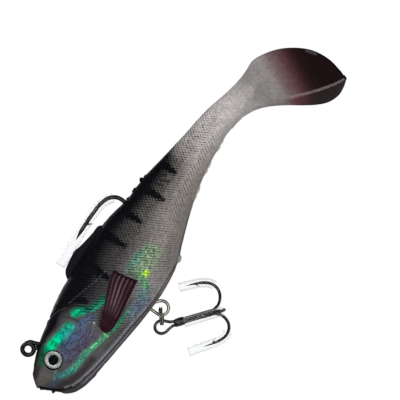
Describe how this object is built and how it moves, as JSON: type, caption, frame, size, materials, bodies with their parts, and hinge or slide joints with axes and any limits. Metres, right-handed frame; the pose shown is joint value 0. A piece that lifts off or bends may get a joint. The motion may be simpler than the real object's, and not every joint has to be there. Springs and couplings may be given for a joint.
{
  "type": "soft paddle tail swimbait",
  "caption": "Soft fish-shaped lure with a paddle tail, side fins, domed eyes, a hook out of its back, and a belly treble hook on a split ring, with clear point covers.",
  "frame": {"origin": "centre of the line tie ring on the forehead", "axes": "+X from head to tail, +Z to the back, so the fish's left side faces -Y"},
  "size_m": [0.1221, 0.0255, 0.0531],
  "materials": {
    "body_skin": "soft, slightly glossy, smoky grey with a black barred back",
    "paddle_skin": "soft, slightly glossy, grey root turning dark maroon",
    "fin_skin": "soft, dark maroon, ribbed",
    "lead": "cast, dull grey",
    "black_nickel": "black nickel plated wire",
    "clear_sleeve": "clear soft tube",
    "foil": "emerald and blue foil film",
    "eye_print": "silver ring round a black pupil",
    "eye_clear": "clear domed resin"
  },
  "bodies": {
    "lure": {"front_body": "body_skin", "head_weight": "lead", "jig_hook": "black_nickel", "belly_hanger": "black_nickel", "jig_hook_cover": "clear_sleeve", "foil_left": "foil", "foil_right": "foil", "eye_disc_left": "eye_print", "eye_disc_right": "eye_print", "eye_lens_left": "eye_clear", "eye_lens_right": "eye_clear"},
    "stem": {"tail_stem": "body_skin"},
    "paddle": {"paddle_tail": "paddle_skin"},
    "fin_left": {"pectoral_fin_left": "fin_skin"},
    "fin_right": {"pectoral_fin_right": "fin_skin"},
    "ring": {"split_ring": "black_nickel"},
    "treble": {"treble_double_hook": "black_nickel", "treble_single_hook": "black_nickel", "treble_cover_1": "clear_sleeve", "treble_cover_2": "clear_sleeve", "treble_cover_3": "clear_sleeve"}
  },
  "joints": [
    {"name": "stem_flex", "type": "hinge", "parent": "lure", "child": "stem", "pos_m": [0.062, 0, -0.007], "axis": [0, 0, 1], "range_deg": [-25, 25], "stiffness_Nm_per_rad": 0.02},
    {"name": "wrist_flex", "type": "hinge", "parent": "stem", "child": "paddle", "pos_m": [0.088, 0, -0.0077], "axis": [0, 0, 1], "range_deg": [-35, 35], "stiffness_Nm_per_rad": 0.006},
    {"name": "fin_left_flap", "type": "hinge", "parent": "lure", "child": "fin_left", "pos_m": [0.0176, -0.00885, -0.0135], "axis": [0, 0, -1], "range_deg": [-4, 35], "stiffness_Nm_per_rad": 0.0006},
    {"name": "fin_right_flap", "type": "hinge", "parent": "lure", "child": "fin_right", "pos_m": [0.0176, 0.00885, -0.0135], "axis": [0, 0, 1], "range_deg": [-4, 35], "stiffness_Nm_per_rad": 0.0006},
    {"name": "ring_swing", "type": "hinge", "parent": "lure", "child": "ring", "pos_m": [0.03092, 0, -0.02381], "axis": [1, 0, 0], "range_deg": [-35, 35]},
    {"name": "treble_swing", "type": "hinge", "parent": "ring", "child": "treble", "pos_m": [0.02708, 0, -0.02669], "axis": [0, 1, 0], "range_deg": [-5, 90]}
  ]
}
